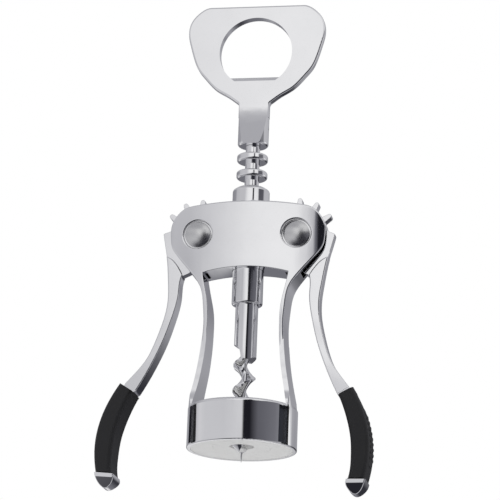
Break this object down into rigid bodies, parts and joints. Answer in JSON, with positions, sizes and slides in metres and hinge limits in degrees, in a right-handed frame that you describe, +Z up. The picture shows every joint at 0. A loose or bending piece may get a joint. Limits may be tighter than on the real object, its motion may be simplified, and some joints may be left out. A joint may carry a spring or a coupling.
{
  "type": "wing corkscrew",
  "caption": "Wing corkscrew with a ringed rack between two geared levers, a bottle cup, an auger worm and a cap opener on top.",
  "frame": {"origin": "centre of the bottle cup's mouth, in the plane of its rim", "axes": "+Z up the worm's axis to the opener handle, +X to the right wing, -Y to the front"},
  "size_m": [0.1121, 0.0442, 0.2073],
  "materials": {
    "frame_chrome": "bright chrome plate on cast zinc",
    "handle_chrome": "bright chrome plate on cast zinc",
    "wing_chrome": "bright chrome plate on cast zinc",
    "rack_chrome": "bright chrome plate on turned steel",
    "worm_chrome": "bright chrome plate on turned steel",
    "rivet_steel": "satin turned steel",
    "spindle_steel": "plain drawn steel",
    "bush_nylon": "moulded black nylon",
    "liner_black": "moulded black plastic",
    "seat_pale": "moulded pale grey plastic",
    "grip_rubber": "soft black rubber with a pimpled pad"
  },
  "bodies": {
    "frame": {"frame": "frame_chrome", "guide_bush": "bush_nylon", "cup_liner": "liner_black", "bottle_seat": "seat_pale", "pivot_pin_left": "rivet_steel", "pivot_pin_right": "rivet_steel", "rear_cap_left": "rivet_steel", "rear_cap_right": "rivet_steel"},
    "wing_right": {"wing_right": "wing_chrome", "grip_right": "grip_rubber"},
    "wing_left": {"wing_left": "wing_chrome", "grip_left": "grip_rubber"},
    "rack": {"rack_sleeve": "rack_chrome"},
    "handle": {"opener_handle": "handle_chrome", "spindle": "spindle_steel", "handle_pin": "spindle_steel", "worm": "worm_chrome", "worm_pin": "spindle_steel"},
    "guide": {"worm_guide": "seat_pale"}
  },
  "joints": [
    {"name": "wing_right_swing", "type": "hinge", "parent": "frame", "child": "wing_right", "pos_m": [0.02027, 0, 0.08836], "axis": [0, -1, 0], "range_deg": [-5.9, 120]},
    {"name": "wing_left_swing", "type": "hinge", "parent": "frame", "child": "wing_left", "pos_m": [-0.02027, 0, 0.08836], "axis": [0, 1, 0], "range_deg": [-5.9, 120]},
    {"name": "rack_slide", "type": "slide", "parent": "frame", "child": "rack", "axis": [0, 0, 1], "range_m": [-0.0309, 0.0015]},
    {"name": "handle_spin", "type": "hinge", "parent": "rack", "child": "handle", "pos_m": [0, 0, 0.1276], "axis": [0, 0, 1], "continuous": true},
    {"name": "guide_lift", "type": "slide", "parent": "frame", "child": "guide", "axis": [0, 0, 1], "range_m": [0, 0.02]}
  ],
  "couplings": [
    {"joint": "wing_right_swing", "follows": "rack_slide", "rad_per_m": -67.692},
    {"joint": "wing_left_swing", "follows": "rack_slide", "rad_per_m": -67.692}
  ]
}
